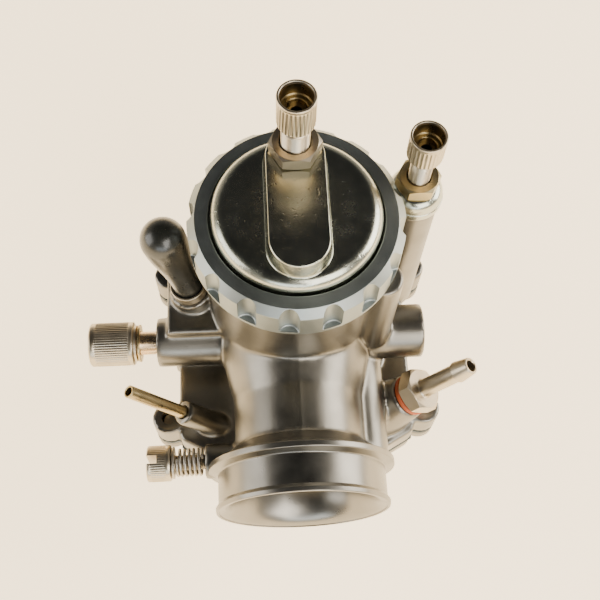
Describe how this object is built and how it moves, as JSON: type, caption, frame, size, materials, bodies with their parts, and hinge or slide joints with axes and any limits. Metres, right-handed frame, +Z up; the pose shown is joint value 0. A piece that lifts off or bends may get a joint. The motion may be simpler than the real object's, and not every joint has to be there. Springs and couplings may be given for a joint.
{
  "type": "carburetor",
  "caption": "Round-slide motorcycle carburetor with intake bell, knurled ring nut, cable adjusters, float bowl, side screws, fuel barb and rubber dust boot.",
  "frame": {"origin": "on the throttle slide's axis, at the lowest plane of the float bowl, in the middle of the drain plug's face", "axes": "+Z up along the slide's axis, +Y towards the engine spigot (so the intake bell points along -Y), +X towards the choke tower and fuel inlet"},
  "size_m": [0.1118, 0.1007, 0.1492],
  "materials": {
    "cast": "polished cast aluminium",
    "polished": "mirror-polished aluminium",
    "satin": "satin turned aluminium",
    "nickel": "nickel plate, warm",
    "plated": "hard chrome",
    "steel": "bright spring steel",
    "brass": "dull turned brass",
    "rubber": "glossy black rubber",
    "fibre": "red fibre",
    "gasket": "grey-green gasket paper",
    "float_plastic": "black float plastic"
  },
  "bodies": {
    "carburetor_body": {"body_casting": "cast", "float_bowl": "cast", "bowl_gasket": "gasket", "bowl_screw_1": "nickel", "bowl_screw_2": "nickel", "bowl_screw_3": "nickel", "bowl_screw_4": "nickel", "drain_plug": "brass", "drain_plug_washer": "fibre", "main_jet": "brass", "needle_jet": "brass", "pilot_jet": "brass", "starter_jet": "brass", "float_pin": "steel", "float_valve_seat": "brass", "slide_guide_pin": "steel", "slide_spring": "steel", "top_cover": "polished", "cover_seal": "rubber", "ring_nut": "satin", "throttle_adjuster_locknut": "nickel", "choke_spring": "steel", "choke_cap": "polished", "choke_cap_nut": "brass", "mixture_screw_spring": "steel", "side_plug": "steel", "fuel_inlet": "nickel", "fuel_inlet_washer": "fibre", "vent_tube": "brass", "primer_collar": "nickel", "primer_spring": "steel", "dust_boot": "rubber"},
    "throttle": {"throttle_slide": "plated", "jet_needle": "brass", "needle_clip": "steel", "needle_retainer": "steel"},
    "float_arm": {"float": "float_plastic"},
    "valve_needle": {"float_needle": "brass"},
    "choke": {"choke_plunger": "brass"},
    "idle_carrier": {"idle_screw_washer": "brass"},
    "idle_screw": {"idle_speed_screw": "nickel"},
    "mixture_carrier": {"mixture_screw_washer": "steel"},
    "mixture_needle": {"mixture_screw": "nickel"},
    "throttle_adjuster": {"throttle_cable_adjuster": "nickel"},
    "choke_adjuster": {"choke_cable_adjuster": "nickel"},
    "primer": {"primer_rod": "steel"}
  },
  "joints": [
    {"name": "throttle_lift", "type": "slide", "parent": "carburetor_body", "child": "throttle", "axis": [0, 0, 1], "range_m": [0, 0.034], "stiffness_N_per_m": 60, "springref_m": -0.03, "deforming": ["slide_spring"]},
    {"name": "float_pivot", "type": "hinge", "parent": "carburetor_body", "child": "float_arm", "pos_m": [0, -0.033, 0.033], "axis": [1, 0, 0], "range_deg": [0, 9]},
    {"name": "float_needle_rise", "type": "slide", "parent": "carburetor_body", "child": "valve_needle", "axis": [0, 0, 1], "range_m": [0, 0.00115]},
    {"name": "choke_lift", "type": "slide", "parent": "carburetor_body", "child": "choke", "axis": [0, 0, 1], "range_m": [0, 0.01], "stiffness_N_per_m": 40, "springref_m": -0.015, "deforming": ["choke_spring"]},
    {"name": "idle_screw_travel", "type": "slide", "parent": "carburetor_body", "child": "idle_carrier", "axis": [1, 0, 0], "range_m": [-0.00205, 0.00205]},
    {"name": "idle_screw_turn", "type": "hinge", "parent": "idle_carrier", "child": "idle_screw", "pos_m": [-0.047, -0.0105, 0.062], "axis": [1, 0, 0], "range_deg": [-720, 720]},
    {"name": "mixture_screw_travel", "type": "slide", "parent": "carburetor_body", "child": "mixture_carrier", "axis": [-1, 0, 0], "range_m": [0, 0.00155]},
    {"name": "mixture_screw_turn", "type": "hinge", "parent": "mixture_carrier", "child": "mixture_needle", "pos_m": [-0.0364, -0.047, 0.06], "axis": [-1, 0, 0], "range_deg": [0, 720]},
    {"name": "throttle_adjuster_rise", "type": "slide", "parent": "carburetor_body", "child": "throttle_adjuster", "axis": [0, 0, 1], "range_m": [0, 0.004]},
    {"name": "choke_adjuster_rise", "type": "slide", "parent": "carburetor_body", "child": "choke_adjuster", "axis": [0, 0, 1], "range_m": [0, 0.003]},
    {"name": "primer_press", "type": "slide", "parent": "carburetor_body", "child": "primer", "axis": [0.1697, -0.0441, -0.9845], "range_m": [0, 0.004], "stiffness_N_per_m": 50, "springref_m": -0.01}
  ],
  "couplings": [
    {"joint": "float_needle_rise", "follows": "float_pivot", "m_per_rad": 0.007},
    {"joint": "idle_screw_travel", "follows": "idle_screw_turn", "m_per_rad": 0.00015915},
    {"joint": "mixture_screw_travel", "follows": "mixture_screw_turn", "m_per_rad": 0.00011937}
  ]
}
